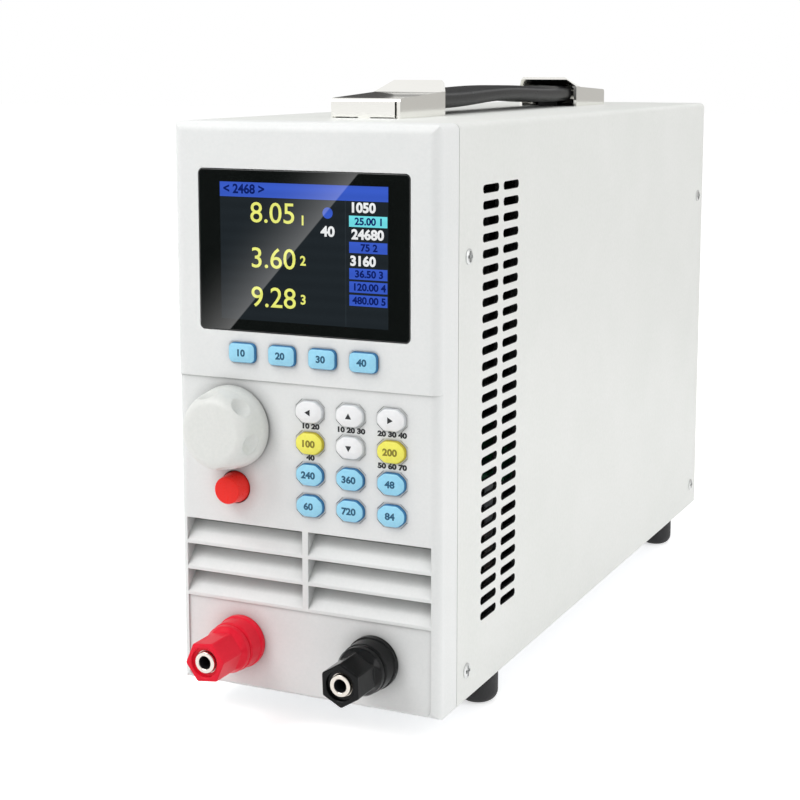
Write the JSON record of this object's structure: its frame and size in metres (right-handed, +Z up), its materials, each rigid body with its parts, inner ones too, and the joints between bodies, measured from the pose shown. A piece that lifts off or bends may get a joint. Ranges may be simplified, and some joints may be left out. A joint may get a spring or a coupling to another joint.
{
  "type": "dc electronic load",
  "caption": "Slim upright bench instrument that sinks dc power: colour display, rubber keys, setting knob, power button, binding posts, vented steel case, strap handle and rear fan.",
  "frame": {"origin": "under the middle of the bounding box, on the plane that the feet stand on", "axes": "+Z up, +X to the right of the display seen from the front, +Y from the front panel to the rear panel"},
  "size_m": [0.0904, 0.3082, 0.1965],
  "materials": {
    "bezel_plastic": "fine spark-eroded moulded texture",
    "window_glass": "polished, black printed border",
    "lcd_dark": "polarizer film",
    "silicone_grey": "moulded",
    "board_green": "solder mask",
    "zinc_steel": "zinc plated sheet",
    "screw_steel": "nickel plated",
    "knob_grey": "fine moulded texture",
    "switch_black": "moulded",
    "button_red": "polished moulding",
    "key_blue": "moulded silicone",
    "key_yellow": "moulded silicone",
    "key_white": "moulded silicone",
    "cover_paint": "fine powder coat",
    "foot_rubber": "moulded",
    "post_red": "polished moulding",
    "post_black": "polished moulding",
    "nickel": "nickel plated",
    "copper": "rolled copper bar",
    "strap_black": "vinyl over a spring steel core",
    "sink_aluminium": "extruded",
    "fet_black": "moulded epoxy",
    "transformer_core": "varnished laminations",
    "fan_black": "moulded",
    "inlet_black": "moulded",
    "port_shell": "tin plated"
  },
  "bodies": {
    "case": {"front_bezel": "bezel_plastic", "display_window": "window_glass", "lcd_module": "lcd_dark", "keypad_mat": "silicone_grey", "front_board": "board_green", "encoder_body": "zinc_steel", "power_switch": "switch_black", "front_frame": "zinc_steel", "top_cover": "cover_paint", "base_tray": "zinc_steel", "rear_panel": "cover_paint", "cover_screws": "screw_steel", "rubber_feet": "foot_rubber", "red_terminal_base": "post_red", "black_terminal_base": "post_black", "terminal_studs": "nickel", "terminal_nuts": "nickel", "bus_bars": "copper", "handle_cap_front": "nickel", "handle_cap_rear": "nickel", "handle_screws": "screw_steel", "load_board": "board_green", "board_posts": "zinc_steel", "heat_sink": "sink_aluminium", "power_transistors": "fet_black", "transformer": "transformer_core", "fan_frame": "fan_black", "fan_guard": "nickel", "fan_screws": "screw_steel", "mains_inlet": "inlet_black", "serial_port": "port_shell"},
    "knob": {"control_knob": "knob_grey", "encoder_shaft": "screw_steel"},
    "power_button": {"power_button": "button_red"},
    "fan_impeller": {"fan_impeller": "fan_black"},
    "red_insert": {"red_terminal_insert": "nickel"},
    "red_cap": {"red_terminal_cap": "post_red"},
    "black_insert": {"black_terminal_insert": "nickel"},
    "black_cap": {"black_terminal_cap": "post_black"},
    "handle_strap": {"handle_grip": "strap_black", "strap_flex_front": "strap_black", "strap_flex_rear": "strap_black"},
    "strap_end_front": {"strap_end_front": "strap_black"},
    "strap_end_rear": {"strap_end_rear": "strap_black"},
    "soft_key_1": {"soft_key_1": "key_blue"},
    "soft_key_2": {"soft_key_2": "key_blue"},
    "soft_key_3": {"soft_key_3": "key_blue"},
    "soft_key_4": {"soft_key_4": "key_blue"},
    "left_key": {"left_key": "key_white"},
    "up_key": {"up_key": "key_white"},
    "right_key": {"right_key": "key_white"},
    "escape_key": {"escape_key": "key_yellow"},
    "down_key": {"down_key": "key_white"},
    "enter_key": {"enter_key": "key_yellow"},
    "mode_key": {"mode_key": "key_blue"},
    "menu_key": {"menu_key": "key_blue"},
    "set_key": {"set_key": "key_blue"},
    "channel_key": {"channel_key": "key_blue"},
    "trigger_key": {"trigger_key": "key_blue"},
    "output_key": {"output_key": "key_blue"}
  },
  "joints": [
    {"name": "soft_key_1_press", "type": "slide", "parent": "case", "child": "soft_key_1", "axis": [0, 1, 0], "range_m": [0, 0.0009], "stiffness_N_per_m": 400},
    {"name": "soft_key_2_press", "type": "slide", "parent": "case", "child": "soft_key_2", "axis": [0, 1, 0], "range_m": [0, 0.0009], "stiffness_N_per_m": 400},
    {"name": "soft_key_3_press", "type": "slide", "parent": "case", "child": "soft_key_3", "axis": [0, 1, 0], "range_m": [0, 0.0009], "stiffness_N_per_m": 400},
    {"name": "soft_key_4_press", "type": "slide", "parent": "case", "child": "soft_key_4", "axis": [0, 1, 0], "range_m": [0, 0.0009], "stiffness_N_per_m": 400},
    {"name": "left_key_press", "type": "slide", "parent": "case", "child": "left_key", "axis": [0, 1, 0], "range_m": [0, 0.0009], "stiffness_N_per_m": 400},
    {"name": "up_key_press", "type": "slide", "parent": "case", "child": "up_key", "axis": [0, 1, 0], "range_m": [0, 0.0009], "stiffness_N_per_m": 400},
    {"name": "right_key_press", "type": "slide", "parent": "case", "child": "right_key", "axis": [0, 1, 0], "range_m": [0, 0.0009], "stiffness_N_per_m": 400},
    {"name": "escape_key_press", "type": "slide", "parent": "case", "child": "escape_key", "axis": [0, 1, 0], "range_m": [0, 0.0009], "stiffness_N_per_m": 400},
    {"name": "down_key_press", "type": "slide", "parent": "case", "child": "down_key", "axis": [0, 1, 0], "range_m": [0, 0.0009], "stiffness_N_per_m": 400},
    {"name": "enter_key_press", "type": "slide", "parent": "case", "child": "enter_key", "axis": [0, 1, 0], "range_m": [0, 0.0009], "stiffness_N_per_m": 400},
    {"name": "mode_key_press", "type": "slide", "parent": "case", "child": "mode_key", "axis": [0, 1, 0], "range_m": [0, 0.0009], "stiffness_N_per_m": 400},
    {"name": "menu_key_press", "type": "slide", "parent": "case", "child": "menu_key", "axis": [0, 1, 0], "range_m": [0, 0.0009], "stiffness_N_per_m": 400},
    {"name": "set_key_press", "type": "slide", "parent": "case", "child": "set_key", "axis": [0, 1, 0], "range_m": [0, 0.0009], "stiffness_N_per_m": 400},
    {"name": "channel_key_press", "type": "slide", "parent": "case", "child": "channel_key", "axis": [0, 1, 0], "range_m": [0, 0.0009], "stiffness_N_per_m": 400},
    {"name": "trigger_key_press", "type": "slide", "parent": "case", "child": "trigger_key", "axis": [0, 1, 0], "range_m": [0, 0.0009], "stiffness_N_per_m": 400},
    {"name": "output_key_press", "type": "slide", "parent": "case", "child": "output_key", "axis": [0, 1, 0], "range_m": [0, 0.0009], "stiffness_N_per_m": 400},
    {"name": "power_press", "type": "slide", "parent": "case", "child": "power_button", "axis": [0, 1, 0], "range_m": [0, 0.0025], "stiffness_N_per_m": 600},
    {"name": "knob_turn", "type": "hinge", "parent": "case", "child": "knob", "pos_m": [-0.02435, -0.13935, 0.093], "axis": [0, -1, 0], "continuous": true},
    {"name": "fan_spin", "type": "hinge", "parent": "case", "child": "fan_impeller", "pos_m": [0, 0.13565, 0.114], "axis": [0, 1, 0], "continuous": true},
    {"name": "red_travel", "type": "slide", "parent": "case", "child": "red_insert", "axis": [0, -1, 0], "range_m": [0, 0.004]},
    {"name": "red_unscrew", "type": "hinge", "parent": "red_insert", "child": "red_cap", "pos_m": [-0.0226, -0.14435, 0.0253], "axis": [0, -1, 0], "continuous": true},
    {"name": "black_travel", "type": "slide", "parent": "case", "child": "black_insert", "axis": [0, -1, 0], "range_m": [0, 0.004]},
    {"name": "black_unscrew", "type": "hinge", "parent": "black_insert", "child": "black_cap", "pos_m": [0.0226, -0.14435, 0.0253], "axis": [0, -1, 0], "continuous": true},
    {"name": "handle_lift", "type": "slide", "parent": "case", "child": "handle_strap", "axis": [0, 0, 1], "range_m": [0, 0.012], "deforming": ["strap_flex_front", "strap_flex_rear"]},
    {"name": "strap_slide_front", "type": "slide", "parent": "handle_strap", "child": "strap_end_front", "axis": [0, 0.1961, -0.9806], "range_m": [0, 0.01225]},
    {"name": "strap_slide_rear", "type": "slide", "parent": "handle_strap", "child": "strap_end_rear", "axis": [0, -0.1961, -0.9806], "range_m": [0, 0.01225]}
  ],
  "couplings": [
    {"joint": "red_unscrew", "follows": "red_travel", "rad_per_m": 6283.2},
    {"joint": "black_unscrew", "follows": "black_travel", "rad_per_m": 6283.2},
    {"joint": "strap_slide_front", "follows": "handle_lift", "ratio": 1.0198},
    {"joint": "strap_slide_rear", "follows": "handle_lift", "ratio": 1.0198}
  ]
}
